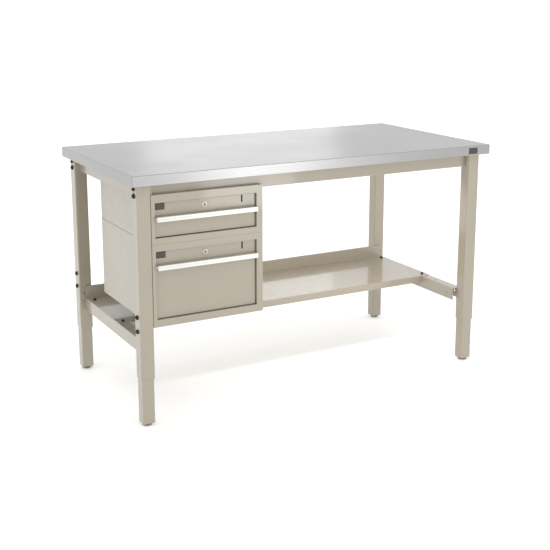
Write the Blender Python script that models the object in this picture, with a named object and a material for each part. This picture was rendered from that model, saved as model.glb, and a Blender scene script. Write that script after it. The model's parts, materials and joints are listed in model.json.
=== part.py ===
"""Steel workbench with two drawers, telescoping legs and a half-depth lower shelf.

Axes: +X to the right along the front edge, +Y to the back, +Z up, in metres.
Origin: on the floor, under the middle of the worktop.
"""

import math

import bmesh
import bpy
from mathutils import Matrix, Vector

INCH = 0.0254
GAP = 0.0003          # air between two pieces that touch on the real bench
BEYOND = 0.002        # how far a cutter runs past the face that it cuts

# Worktop
TOP_LENGTH = 60 * INCH
TOP_DEPTH = 30 * INCH
TOP_THICKNESS = 1.5 * INCH
WORK_HEIGHT = 36 * INCH
SKIN = 0.0015
SKIN_HEM = 1.0 * INCH
SKIN_RADIUS = 0.0015
BADGE_SIZE = (1.65 * INCH, 0.0005, 0.95 * INCH)
BADGE_FROM_RIGHT = 2.45 * INCH

# Legs
UPPER_LEG = 2.0 * INCH
LOWER_LEG = 1.8 * INCH
LEG_WALL = 0.0015
LEG_RADIUS = 0.0040
LEG_END_INSET = 1.0 * INCH
LEG_FRONT_INSET = 1.25 * INCH
LEG_BACK_INSET = 0.75 * INCH
UPPER_LEG_BOTTOM = 7.0 * INCH
LOWER_LEG_BOTTOM = 0.4 * INCH
LOWER_LEG_TOP = 18.0 * INCH
FOOT_PLATE = 0.0025

# Bolts
SMALL_HEAD = 0.0064                # head radii
LARGE_HEAD = 0.0085
HEAD_HEIGHT = 0.0062
SHANK_RADIUS = 0.0046
HOLE_RADIUS = 0.0050
RAIL_BOLTS = ((33.84 * INCH, SMALL_HEAD), (32.90 * INCH, LARGE_HEAD))      # height, head
RAIL_SLOT_TOP = 33.42 * INCH       # it runs up from the lower rail bolt
SIDE_HOLE_HEIGHT = 12.8 * INCH     # spare holes in the leg faces that look at each other
SIDE_HOLE_OUTBOARD = 0.25 * INCH
SIDE_SLOT = (11.2 * INCH, 11.65 * INCH)
CLAMP_BOLT_HEIGHTS = (15.9 * INCH, 13.86 * INCH)
PAD_THICKNESS = 0.0004
PAD_SIZE = (0.012, 0.066)
BACKING_PLATE = (0.0030, 0.0140, 0.0420)

# Rails
RAIL_WALL = 0.0019
RAIL_BEND = 0.0030
UPPER_RAIL_HEIGHT = 2.1 * INCH
LONG_RAIL_SETBACK = 0.9 * INCH
LONG_RAIL_FLANGE = 1.05 * INCH
END_BLOCK = 0.0050                 # threaded block welded into each end of a long rail
BOLT_HOLE_DEPTH = 0.0042
END_RAIL_SETBACK = 0.9 * INCH
END_RAIL_FLANGE = 1.75 * INCH
UPPER_RAIL_LIP = 0.4 * INCH
LOWER_RAIL_TOP = 12.0 * INCH
LOWER_RAIL_HEIGHT = 1.95 * INCH
END_RAIL_HOLES = (1.65 * INCH, 13.25 * INCH)
END_RAIL_HOLE_RADIUS = 0.0045
FLANGE_HOLES = (5.55 * INCH, 8.15 * INCH)
FLANGE_HOLE_INSET = 1.1 * INCH
FLANGE_HOLE_RADIUS = 0.0050

# Lower shelf
SHELF_SHEET = 0.0015
SHELF_FRONT = 11.9 * INCH          # from the front edge of the worktop
SHELF_DEPTH = 15.0 * INCH
SHELF_FLANGE = 1.1 * INCH
SHELF_UPSTAND = 1.9 * INCH
SHELF_HEM = 0.008
SHELF_BOLT_ROWS = (12.9 * INCH, 25.2 * INCH)

# Drawer housings
CABINET_WIDTH = 17.0 * INCH
CABINET_DEPTH = 20.0 * INCH
CABINET_BOTTOM = 14.35 * INCH
CABINET_SPLIT = 26.05 * INCH
CABINET_LIP = 0.6 * INCH
HOUSING_SHEET = 0.0012
HOUSING_RADIUS = 0.0018
STILE_LEFT = 0.55 * INCH
STILE_RIGHT = 0.95 * INCH
COLLAR_DEPTH = 0.75 * INCH
OPENINGS = {"upper": (26.95 * INCH, 31.87 * INCH), "lower": (15.40 * INCH, 25.10 * INCH)}

# Drawers
FRONT_RECESS = 0.40 * INCH
FRONT_DEPTH = 0.55 * INCH
FRONT_MARGIN = 0.07 * INCH
DRAWER_SHEET = 0.0012
PAN_RADIUS = 0.0014
BOX_BACK_ROOM = 0.5 * INCH
BOX_SIDE_ROOM = 0.5 * INCH         # from the opening's edge to the drawer's side, for the slide
LOCK_DROP = 0.87 * INCH            # lock axis below the top edge of the drawer front
BOX_BELOW_LOCK = 0.55 * INCH
HASP_SLOT = (0.0050, 0.0250)
HASP_FROM_RIGHT = 2.0 * INCH
HANDLE_DROP = 1.78 * INCH          # top of the handle below the top edge of the drawer front
HANDLE_REACH = 1.0 * INCH
HANDLE_FACE = 0.75 * INCH
HANDLE_WALL = 0.0022
LABEL_SIZE = (1.45 * INCH, 0.0015, 0.92 * INCH)

# Drawer slides
SLIDE_HEIGHT = 0.040
SLIDE_SHEET = 0.0012
SLIDE_LENGTH = 18.4 * INCH
SLIDE_FLANGE = 0.0105

# Locks
LOCK_FLANGE = (0.0110, 0.0020)
LOCK_BARREL = (0.0085, 0.0140)
LOCK_BORE = 0.0062
PLUG_RADIUS = 0.0058
CAM_LENGTH = 1.2 * INCH
CAM_WIDTH = 0.0110
CAM_THICKNESS = 0.0020

# Levelling feet
FOOT_RADIUS = 0.0175
FOOT_COLLAR = 0.0080
STEM_RADIUS = 0.0047
STEM_TOP = 0.0600

ROUND = 12            # sides of a round hole or shank
SMOOTH_BELOW = math.radians(50)    # shallower edges are shaded smooth

TOP_UNDERSIDE = WORK_HEIGHT - TOP_THICKNESS
LEG_FRONT = -TOP_DEPTH / 2 + LEG_FRONT_INSET
LEG_BACK = TOP_DEPTH / 2 - LEG_BACK_INSET
LEG_OUTER = TOP_LENGTH / 2 - LEG_END_INSET
LEG_INNER = LEG_OUTER - UPPER_LEG
LEG_CENTRE_X = LEG_OUTER - UPPER_LEG / 2
LEG_CENTRE_FRONT = LEG_FRONT + UPPER_LEG / 2
LEG_CENTRE_BACK = LEG_BACK - UPPER_LEG / 2
END_RAIL_OUTER = LEG_OUTER - END_RAIL_SETBACK
LOWER_RAIL_BOTTOM = LOWER_RAIL_TOP - LOWER_RAIL_HEIGHT
UPPER_RAIL_BOTTOM = TOP_UNDERSIDE - UPPER_RAIL_HEIGHT
CABINET_LEFT = -LEG_INNER + GAP
CABINET_RIGHT = CABINET_LEFT + CABINET_WIDTH
CABINET_FRONT = LEG_FRONT
CABINET_BACK = CABINET_FRONT + CABINET_DEPTH
OPENING_LEFT = CABINET_LEFT + STILE_LEFT
OPENING_RIGHT = CABINET_RIGHT - STILE_RIGHT
DRAWER_LEFT = OPENING_LEFT + FRONT_MARGIN
DRAWER_RIGHT = OPENING_RIGHT - FRONT_MARGIN
DRAWER_FACE = CABINET_FRONT + FRONT_RECESS
BOX_FRONT = DRAWER_FACE + FRONT_DEPTH + GAP
BOX_BACK = CABINET_BACK - HOUSING_SHEET - BOX_BACK_ROOM
BOX_LEFT = OPENING_LEFT + BOX_SIDE_ROOM
BOX_RIGHT = OPENING_RIGHT - BOX_SIDE_ROOM
LOCK_X = (DRAWER_LEFT + DRAWER_RIGHT) / 2 - 0.2 * INCH

CORNERS = {
    "fl": (-1, LEG_CENTRE_FRONT),
    "fr": (1, LEG_CENTRE_FRONT),
    "bl": (-1, LEG_CENTRE_BACK),
    "br": (1, LEG_CENTRE_BACK),
}


# ---------------------------------------------------------------- scene and materials

def clear_scene():
    for item in list(bpy.data.objects):
        bpy.data.objects.remove(item, do_unlink=True)


def material(name, colour, metallic, roughness):
    item = bpy.data.materials.new(name)
    item.use_nodes = True
    shader = item.node_tree.nodes["Principled BSDF"]
    shader.inputs["Base Color"].default_value = (*colour, 1.0)
    shader.inputs["Metallic"].default_value = metallic
    shader.inputs["Roughness"].default_value = roughness
    return item


def empty(name, location, parent=None):
    item = bpy.data.objects.new(name, None)
    item.location = location
    item.parent = parent
    bpy.context.collection.objects.link(item)
    return item


def place(name, solid, look, origin=(0.0, 0.0, 0.0), parent=None):
    """Turn a bmesh in world coordinates into an object whose origin is at `origin`."""
    bmesh.ops.translate(solid, verts=solid.verts, vec=-Vector(origin))
    for face in solid.faces:
        face.smooth = True
    for edge in solid.edges:
        edge.smooth = edge.calc_face_angle(math.pi) < SMOOTH_BELOW
    mesh = bpy.data.meshes.new(name)
    solid.to_mesh(mesh)
    solid.free()
    mesh.materials.append(look)
    item = bpy.data.objects.new(name, mesh)
    item.location = origin
    if parent:
        item.parent = parent
        item.location = Vector(origin) - parent.location
    bpy.context.collection.objects.link(item)
    return item


# ---------------------------------------------------------------- solids

def box(low, high):
    solid = bmesh.new()
    bmesh.ops.create_cube(solid, size=1.0)
    size = Vector(high) - Vector(low)
    middle = (Vector(high) + Vector(low)) / 2
    bmesh.ops.scale(solid, verts=solid.verts, vec=size)
    bmesh.ops.translate(solid, verts=solid.verts, vec=middle)
    return solid


def soft_box(low, high, radius, chosen):
    """Box with the edges that `chosen` accepts rounded; it is given each edge's middle and direction."""
    solid = box(low, high)
    edges = [edge for edge in solid.edges
             if chosen((edge.verts[0].co + edge.verts[1].co) / 2,
                       (edge.verts[1].co - edge.verts[0].co).normalized())]
    bmesh.ops.bevel(solid, geom=edges, offset=radius, segments=2, profile=0.5, affect="EDGES")
    return solid


def prism(outline, axis, low, high):
    """Extrude a closed outline along an axis; its points hold the other two axes in X, Y, Z order."""
    solid = bmesh.new()
    corners = []
    for u, v in outline:
        point = [u, v]
        point.insert("XYZ".index(axis), low)
        corners.append(solid.verts.new(point))
    face = solid.faces.new(corners)
    grown = bmesh.ops.extrude_face_region(solid, geom=[face])
    moved = [item for item in grown["geom"] if isinstance(item, bmesh.types.BMVert)]
    shift = [0.0, 0.0, 0.0]
    shift["XYZ".index(axis)] = high - low
    bmesh.ops.translate(solid, verts=moved, vec=shift)
    bmesh.ops.recalc_face_normals(solid, faces=solid.faces)
    return solid


def turned(profile, sides, axis="Z", centre=(0.0, 0.0, 0.0)):
    """Spin (radius, height) points into a solid and point its axis along +axis or -axis."""
    solid = bmesh.new()
    verts = [solid.verts.new((radius, 0.0, height)) for radius, height in profile]
    edges = [solid.edges.new(pair) for pair in zip(verts, verts[1:])]
    bmesh.ops.spin(solid, geom=verts + edges, cent=(0, 0, 0), axis=(0, 0, 1),
                   angle=math.tau, steps=sides)
    bmesh.ops.remove_doubles(solid, verts=solid.verts, dist=1e-6)
    aim = {
        "Z": Matrix.Identity(4),
        "X": Matrix.Rotation(math.pi / 2, 4, "Y"),
        "-X": Matrix.Rotation(-math.pi / 2, 4, "Y"),
        "-Y": Matrix.Rotation(math.pi / 2, 4, "X"),
        "Y": Matrix.Rotation(-math.pi / 2, 4, "X"),
    }[axis]
    bmesh.ops.transform(solid, matrix=Matrix.Translation(centre) @ aim, verts=solid.verts)
    bmesh.ops.recalc_face_normals(solid, faces=solid.faces)
    return solid


def rod(radius, low, high, axis, centre, sides=ROUND):
    return turned([(0.0, low), (radius, low), (radius, high), (0.0, high)], sides, axis, centre)


def rounded_square(size, radius, steps=3):
    """Outline of a square tube's section, centred on the origin."""
    points = []
    inner = size / 2 - radius
    for quarter, (sx, sy) in enumerate(((1, 1), (-1, 1), (-1, -1), (1, -1))):
        for step in range(steps + 1):
            angle = math.pi / 2 * (quarter + step / steps)
            points.append((sx * inner + radius * math.cos(angle),
                           sy * inner + radius * math.sin(angle)))
    return points


def shifted(outline, x, y):
    return [(u + x, v + y) for u, v in outline]


def filleted(path, radius, steps=3):
    """Replace each inner corner of an open path with an arc."""
    points = [Vector(path[0])]
    for before, corner, after in zip(path, path[1:], path[2:]):
        corner = Vector(corner)
        back = (Vector(before) - corner).normalized()
        onward = (Vector(after) - corner).normalized()
        half = back.angle(onward) / 2
        reach = radius / math.tan(half)
        start = corner + back * reach
        end = corner + onward * reach
        centre = corner + (back + onward).normalized() * radius / math.sin(half)
        sweep = (end - centre).angle_signed(start - centre)
        for step in range(steps + 1):
            turn = Matrix.Rotation(sweep * step / steps, 2)
            points.append(centre + turn @ (start - centre))
    points.append(Vector(path[-1]))
    return points


def folded_sheet(path, thickness, radius):
    """Outline of a bent sheet: `path` is one face, and the sheet lies on the path's left."""
    line = filleted(path, radius)
    offset = []
    for index, point in enumerate(line):
        behind = line[max(index - 1, 0)]
        ahead = line[min(index + 1, len(line) - 1)]
        first = (point - behind) if index else (ahead - point)
        second = (ahead - point) if index < len(line) - 1 else first
        left = first.normalized().orthogonal()
        other = second.normalized().orthogonal()
        middle = (left + other).normalized()
        offset.append(point + middle * thickness / middle.dot(left))
    return [tuple(point) for point in line] + [tuple(point) for point in reversed(offset)]


def boolean(base, tools, operation):
    """Combine a bmesh with others through Blender's exact Boolean."""
    target = place("target", base, None_look)
    for tool in tools:
        other = place("tool", tool, None_look)
        step = target.modifiers.new("step", "BOOLEAN")
        step.operation = operation
        step.solver = "EXACT"
        step.object = other
        bpy.context.view_layer.update()
        seen = target.evaluated_get(bpy.context.evaluated_depsgraph_get())
        result = bmesh.new()
        result.from_mesh(seen.to_mesh())
        seen.to_mesh_clear()
        target.modifiers.clear()
        result.to_mesh(target.data)
        result.free()
        bpy.data.objects.remove(other, do_unlink=True)
    answer = bmesh.new()
    answer.from_mesh(target.data)
    bpy.data.objects.remove(target, do_unlink=True)
    bmesh.ops.remove_doubles(answer, verts=answer.verts, dist=1e-7)
    return answer


def cut(base, *tools):
    return boolean(base, tools, "DIFFERENCE")


def join(base, *others):
    return boolean(base, others, "UNION")


# ---------------------------------------------------------------- worktop

def top_skin(look):
    half_x, half_y = TOP_LENGTH / 2, TOP_DEPTH / 2
    shell = soft_box((-half_x, -half_y, TOP_UNDERSIDE), (half_x, half_y, WORK_HEIGHT), SKIN_RADIUS,
                     lambda middle, along: middle.z > TOP_UNDERSIDE + BEYOND)
    room = box((-half_x + SKIN, -half_y + SKIN, TOP_UNDERSIDE + SKIN),
               (half_x - SKIN, half_y - SKIN, WORK_HEIGHT - SKIN))
    mouth = box((-half_x + SKIN_HEM, -half_y + SKIN_HEM, TOP_UNDERSIDE - BEYOND),
                (half_x - SKIN_HEM, half_y - SKIN_HEM, TOP_UNDERSIDE + SKIN + BEYOND))
    place("top_skin", cut(shell, room, mouth), look)


def top_core(look):
    inset = SKIN + GAP
    core = box((-TOP_LENGTH / 2 + inset, -TOP_DEPTH / 2 + inset, TOP_UNDERSIDE + inset),
               (TOP_LENGTH / 2 - inset, TOP_DEPTH / 2 - inset, WORK_HEIGHT - inset))
    place("top_core", core, look)


def top_badge(look):
    width, thickness, height = BADGE_SIZE
    right = TOP_LENGTH / 2 - BADGE_FROM_RIGHT
    front = -TOP_DEPTH / 2 - GAP
    middle = TOP_UNDERSIDE + 0.46 * TOP_THICKNESS
    plate = box((right - width, front - thickness, middle - height / 2),
                (right, front, middle + height / 2))
    place("top_badge", plate, look)


# ---------------------------------------------------------------- legs and their fasteners

def upper_leg(corner, look):
    side, y = CORNERS[corner]
    x = side * LEG_CENTRE_X
    top = TOP_UNDERSIDE - GAP
    outer = prism(shifted(rounded_square(UPPER_LEG, LEG_RADIUS), x, y), "Z", UPPER_LEG_BOTTOM, top)
    inside = rounded_square(UPPER_LEG - 2 * LEG_WALL, LEG_RADIUS - LEG_WALL)
    bore = prism(shifted(inside, x, y), "Z", UPPER_LEG_BOTTOM - BEYOND, top + BEYOND)
    outward = "X" if side > 0 else "-X"
    wall = UPPER_LEG / 2
    through = [rod(HOLE_RADIUS, -wall - BEYOND, wall + BEYOND, outward, (x, y, height))
               for height, _ in RAIL_BOLTS]
    clamps = [rod(HOLE_RADIUS, wall - 2 * LEG_WALL, wall + BEYOND, outward, (x, y, height))
              for height in CLAMP_BOLT_HEIGHTS]
    slot_bottom = RAIL_BOLTS[1][0]
    near, far = sorted((x + side * (wall - 2 * LEG_WALL), x + side * (wall + BEYOND)))
    slot = box((near, y - 0.6 * HOLE_RADIUS, slot_bottom), (far, y + 0.6 * HOLE_RADIUS, RAIL_SLOT_TOP))
    inward = 1 if y < 0 else -1
    facing = "Y" if y < 0 else "-Y"
    spare_x = x + side * SIDE_HOLE_OUTBOARD
    side_hole = rod(HOLE_RADIUS, wall - 2 * LEG_WALL, wall + BEYOND, facing,
                    (spare_x, y, SIDE_HOLE_HEIGHT))
    low_y, high_y = sorted((y + inward * (wall - 2 * LEG_WALL), y + inward * (wall + BEYOND)))
    side_slot = box((spare_x - 0.5 * HOLE_RADIUS, low_y, SIDE_SLOT[0]),
                    (spare_x + 0.5 * HOLE_RADIUS, high_y, SIDE_SLOT[1]))
    tube = cut(outer, bore, *through, *clamps, slot, side_hole, side_slot)
    place(f"upper_leg_{corner}", tube, look, (x, y, UPPER_LEG_BOTTOM))


def lower_leg(corner, look):
    side, y = CORNERS[corner]
    x = side * LEG_CENTRE_X
    outer = prism(shifted(rounded_square(LOWER_LEG, LEG_RADIUS), x, y), "Z",
                  LOWER_LEG_BOTTOM, LOWER_LEG_TOP)
    inside = rounded_square(LOWER_LEG - 2 * LEG_WALL, LEG_RADIUS - LEG_WALL)
    bore = prism(shifted(inside, x, y), "Z", LOWER_LEG_BOTTOM + FOOT_PLATE, LOWER_LEG_TOP + BEYOND)
    stem_hole = rod(STEM_RADIUS + GAP, LOWER_LEG_BOTTOM - BEYOND,
                    LOWER_LEG_BOTTOM + FOOT_PLATE + BEYOND, "Z", (x, y, 0.0))
    place(f"lower_leg_{corner}", cut(outer, bore, stem_hole), look, (x, y, LOWER_LEG_BOTTOM))


def foot(corner, look):
    side, y = CORNERS[corner]
    collar_top = LOWER_LEG_BOTTOM - GAP
    profile = [(0.0, 0.0), (FOOT_RADIUS - 0.002, 0.0), (FOOT_RADIUS, 0.002), (FOOT_RADIUS, 0.005),
               (FOOT_RADIUS - 0.005, 0.0074), (FOOT_COLLAR, 0.0080), (FOOT_COLLAR, collar_top),
               (STEM_RADIUS, collar_top), (STEM_RADIUS, STEM_TOP), (0.0, STEM_TOP)]
    centre = (side * LEG_CENTRE_X, y, 0.0)
    place(f"foot_{corner}", turned(profile, 20, "Z", centre), look, centre)


def bolt(outward, place_at, head, length):
    """Button-headed bolt; `place_at` is on the face that its head sits on, and it points `outward`."""
    profile = [(0.0, -length), (SHANK_RADIUS, -length), (SHANK_RADIUS, GAP),
               (head, GAP), (head, GAP + 0.6 * HEAD_HEIGHT),
               (0.7 * head, HEAD_HEIGHT), (0.0, HEAD_HEIGHT)]
    return turned(profile, ROUND, outward, place_at)


def rail_bolts(corner, look):
    """The upper pair: across the leg, through one backing plate inside it, into the long rail."""
    side, y = CORNERS[corner]
    outward = "X" if side > 0 else "-X"
    plate_depth, plate_width, plate_height = BACKING_PLATE
    near = LEG_INNER + LEG_WALL + GAP
    low, high = sorted((side * near, side * (near + plate_depth)))
    middle = sum(height for height, _ in RAIL_BOLTS) / len(RAIL_BOLTS)
    plate = box((low, y - plate_width / 2, middle - plate_height / 2),
                (high, y + plate_width / 2, middle + plate_height / 2))
    reach = UPPER_LEG + BOLT_HOLE_DEPTH - 2 * GAP
    bolts = [bolt(outward, (side * LEG_OUTER, y, height), head, reach) for height, head in RAIL_BOLTS]
    place(f"rail_bolts_{corner}", join(plate, *bolts), look, (side * LEG_OUTER, y, middle))


def clamp_bolts(corner, look):
    """The lower pair: they press a thin pad against the lower leg to hold the height."""
    side, y = CORNERS[corner]
    outward = "X" if side > 0 else "-X"
    pad_width, pad_height = PAD_SIZE
    near = side * (LEG_OUTER - LEG_WALL - GAP)
    low, high = sorted((near, near - side * PAD_THICKNESS))
    middle = sum(CLAMP_BOLT_HEIGHTS) / 2
    pad = box((low, y - pad_width / 2, middle - pad_height / 2),
              (high, y + pad_width / 2, middle + pad_height / 2))
    reach = LEG_WALL + GAP + PAD_THICKNESS / 2
    bolts = [bolt(outward, (side * LEG_OUTER, y, height), LARGE_HEAD, reach)
             for height in CLAMP_BOLT_HEIGHTS]
    place(f"clamp_bolts_{corner}", join(pad, *bolts), look, (side * LEG_OUTER, y, middle))


# ---------------------------------------------------------------- rails

def end_rail(name, side, bottom, top, inner_wall, holes, look):
    """Rail between a front and a back leg: outer wall, top flange and an inner wall, open below."""
    outer = side * END_RAIL_OUTER
    inner = side * (END_RAIL_OUTER - END_RAIL_FLANGE)
    path = [(inner, top - inner_wall), (inner, top), (outer, top), (outer, bottom)]
    if side < 0:
        path.reverse()
    front = LEG_FRONT + UPPER_LEG + GAP
    back = LEG_BACK - UPPER_LEG - GAP
    rail = prism(folded_sheet(path, -RAIL_WALL, RAIL_BEND), "Y", front, back)
    outward = "X" if side > 0 else "-X"
    middle = (bottom + top) / 2
    drills = [rod(END_RAIL_HOLE_RADIUS, -END_RAIL_FLANGE - BEYOND, BEYOND, outward,
                  (outer, front + along, middle)) for along in holes]
    drills += [rod(FLANGE_HOLE_RADIUS, top - 4 * RAIL_WALL, top + BEYOND, "Z",
                   (outer - side * FLANGE_HOLE_INSET, front + along, 0.0))
               for along in (FLANGE_HOLES if holes else ())]
    if drills:
        rail = cut(rail, *drills)
    place(name, rail, look, (outer, (front + back) / 2, top))


def long_rail(name, web, inward, look):
    """C-section rail from leg to leg with threaded end blocks; `inward` is +1 for the front rail."""
    left, right = -LEG_INNER + GAP, LEG_INNER - GAP
    top, bottom = TOP_UNDERSIDE - GAP, UPPER_RAIL_BOTTOM
    rear = web + inward * LONG_RAIL_FLANGE
    path = [(rear, bottom), (web, bottom), (web, top), (rear, top)]
    if inward < 0:
        path.reverse()
    rail = prism(folded_sheet(path, -RAIL_WALL, RAIL_BEND), "X", left, right)
    leg_face = web - inward * LONG_RAIL_SETBACK
    low, high = sorted((leg_face + inward * LEG_RADIUS, rear))
    blocks = [box((start, low, bottom + RAIL_WALL / 2), (start + END_BLOCK, high, top - RAIL_WALL / 2))
              for start in (left, right - END_BLOCK)]
    leg_y = LEG_CENTRE_FRONT if inward > 0 else LEG_CENTRE_BACK
    drills = [rod(HOLE_RADIUS, end, end + BOLT_HOLE_DEPTH + BEYOND, "X", (0.0, leg_y, height))
              for end in (left - BEYOND, right - BOLT_HOLE_DEPTH) for height, _ in RAIL_BOLTS]
    place(name, cut(join(rail, *blocks), *drills), look, (0.0, web, bottom))


def hanger_channel(look):
    """Channel that closes the space between the drawer housings and the worktop at the back."""
    back = CABINET_BACK - 0.5 * INCH
    front = back - LONG_RAIL_FLANGE
    low, high = UPPER_RAIL_BOTTOM + GAP, TOP_UNDERSIDE - GAP
    path = [(front, high), (back, high), (back, low), (front, low)]
    left, right = CABINET_LEFT + INCH, CABINET_RIGHT - INCH
    channel = prism(folded_sheet(path, -RAIL_WALL, RAIL_BEND), "X", left, right)
    place("hanger_channel", channel, look, ((left + right) / 2, back, high))


# ---------------------------------------------------------------- lower shelf

def lower_shelf(look):
    front = -TOP_DEPTH / 2 + SHELF_FRONT
    back = front + SHELF_DEPTH
    top = LOWER_RAIL_TOP + GAP + SHELF_SHEET
    crest = top + SHELF_UPSTAND
    path = [(front, top - SHELF_FLANGE), (front, top), (back, top), (back, crest),
            (back + SHELF_HEM, crest)]
    sheet = folded_sheet(path, -SHELF_SHEET, 0.0025)
    tray = prism(sheet, "X", -END_RAIL_OUTER, END_RAIL_OUTER)
    rail_inner = END_RAIL_OUTER - END_RAIL_FLANGE - 2 * GAP
    notches = [box((min(side * rail_inner, side * TOP_LENGTH), front - BEYOND, 0.0),
                   (max(side * rail_inner, side * TOP_LENGTH), front + 0.004, top - SHELF_SHEET - GAP))
               for side in (-1, 1)]
    bolt_x = END_RAIL_OUTER - END_RAIL_FLANGE / 2
    drills = [rod(HOLE_RADIUS, top - 3 * SHELF_SHEET, top + BEYOND, "Z",
                  (side * bolt_x, -TOP_DEPTH / 2 + row, 0.0))
              for side in (-1, 1) for row in SHELF_BOLT_ROWS]
    place("lower_shelf", cut(tray, *notches, *drills), look, (0.0, front, top))


def shelf_bolts(look):
    top = LOWER_RAIL_TOP + GAP + SHELF_SHEET
    x = END_RAIL_OUTER - END_RAIL_FLANGE / 2
    spots = [(side * x, -TOP_DEPTH / 2 + row) for side in (-1, 1) for row in SHELF_BOLT_ROWS]
    for number, (bolt_x, bolt_y) in enumerate(spots, start=1):
        centre = (bolt_x, bolt_y, top)
        place(f"shelf_bolt_{number}", bolt("Z", centre, SMALL_HEAD, SHELF_SHEET), look, centre)


# ---------------------------------------------------------------- drawer housings

def housing(level, look):
    """Sheet box, open at the front, with a face frame and a collar around the drawer opening."""
    sheet = HOUSING_SHEET
    low = CABINET_SPLIT + GAP if level == "upper" else CABINET_BOTTOM
    high = UPPER_RAIL_BOTTOM - GAP if level == "upper" else CABINET_SPLIT
    bottom, top = OPENINGS[level]
    shell = soft_box((CABINET_LEFT, CABINET_FRONT, low), (CABINET_RIGHT, CABINET_BACK, high),
                     HOUSING_RADIUS, lambda middle, along: abs(along.y) > 0.5)
    room = box((CABINET_LEFT + sheet, CABINET_FRONT + sheet, low + sheet),
               (CABINET_RIGHT - sheet, CABINET_BACK - sheet, high - sheet))
    mouth = box((OPENING_LEFT, CABINET_FRONT - BEYOND, bottom),
                (OPENING_RIGHT, CABINET_FRONT + COLLAR_DEPTH + BEYOND, top))
    collar = box((OPENING_LEFT - sheet, CABINET_FRONT + sheet / 2, bottom - sheet),
                 (OPENING_RIGHT + sheet, CABINET_FRONT + COLLAR_DEPTH, top + sheet))
    solid = cut(join(cut(shell, room), collar), mouth)
    if level == "upper":
        crest = high + CABINET_LIP
        rail_face = LEG_FRONT + LONG_RAIL_SETBACK
        lip = box((CABINET_LEFT, CABINET_FRONT, high - 2 * sheet),
                  (CABINET_RIGHT, CABINET_FRONT + sheet, crest))
        ledge = box((CABINET_LEFT + 2 * END_BLOCK, CABINET_FRONT + sheet / 2, crest - sheet),
                    (CABINET_RIGHT, rail_face - GAP, crest))
        solid = join(solid, join(lip, ledge))
    place(f"housing_{level}", solid, look, (CABINET_LEFT, CABINET_FRONT, low))


# ---------------------------------------------------------------- drawers

def front_span(level):
    bottom, top = OPENINGS[level]
    return bottom + FRONT_MARGIN, top - FRONT_MARGIN


def lock_height(level):
    return front_span(level)[1] - LOCK_DROP


def drawer_front(level, look, parent):
    """Pan with its face recessed in the opening; it carries the lock and a narrow hasp slot."""
    low, high = front_span(level)
    back = DRAWER_FACE + FRONT_DEPTH
    pan = soft_box((DRAWER_LEFT, DRAWER_FACE, low), (DRAWER_RIGHT, back, high), PAN_RADIUS,
                   lambda middle, along: middle.y < DRAWER_FACE + BEYOND)
    hollow = box((DRAWER_LEFT + DRAWER_SHEET, DRAWER_FACE + DRAWER_SHEET, low + DRAWER_SHEET),
                 (DRAWER_RIGHT - DRAWER_SHEET, back + BEYOND, high - DRAWER_SHEET))
    barrel_radius = LOCK_BARREL[0]
    lock_hole = rod(barrel_radius + GAP, -BEYOND, 2 * DRAWER_SHEET, "Y",
                    (LOCK_X, DRAWER_FACE, lock_height(level)), 20)
    slot_width, slot_height = HASP_SLOT
    slot_right = DRAWER_RIGHT - HASP_FROM_RIGHT
    slot_top = high - 0.003
    slot = box((slot_right - slot_width, DRAWER_FACE - BEYOND, slot_top - slot_height),
               (slot_right, DRAWER_FACE + 2 * DRAWER_SHEET, slot_top))
    place(f"drawer_front_{level}", cut(pan, hollow, lock_hole, slot), look,
          (DRAWER_LEFT, DRAWER_FACE, low), parent)


def drawer_box(level, look, parent):
    low = front_span(level)[0]
    high = lock_height(level) - BOX_BELOW_LOCK
    tray = box((BOX_LEFT, BOX_FRONT, low), (BOX_RIGHT, BOX_BACK, high))
    hollow = box((BOX_LEFT + DRAWER_SHEET, BOX_FRONT + DRAWER_SHEET, low + DRAWER_SHEET),
                 (BOX_RIGHT - DRAWER_SHEET, BOX_BACK - DRAWER_SHEET, high + BEYOND))
    place(f"drawer_box_{level}", cut(tray, hollow), look, (BOX_LEFT, BOX_FRONT, low), parent)


def handle(level, look, parent):
    """Extruded pull: a back strip, a web and a front lip with a finger gap behind it."""
    high = front_span(level)[1] - HANDLE_DROP
    back = DRAWER_FACE - GAP
    front = DRAWER_FACE - HANDLE_REACH
    path = [(back, high - 0.8 * HANDLE_FACE), (back, high), (front, high), (front, high - HANDLE_FACE)]
    bar = prism(folded_sheet(path, HANDLE_WALL, 0.0030), "X", DRAWER_LEFT, DRAWER_RIGHT)
    place(f"handle_{level}", bar, look, (DRAWER_LEFT, front, high), parent)


def label_plate(level, look, parent):
    width, thickness, height = LABEL_SIZE
    high = front_span(level)[1] - 0.0015
    left = DRAWER_LEFT + 0.001
    plate = box((left, DRAWER_FACE - GAP - thickness, high - height),
                (left + width, DRAWER_FACE - GAP, high))
    place(f"label_plate_{level}", plate, look, (left, DRAWER_FACE, high), parent)


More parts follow.
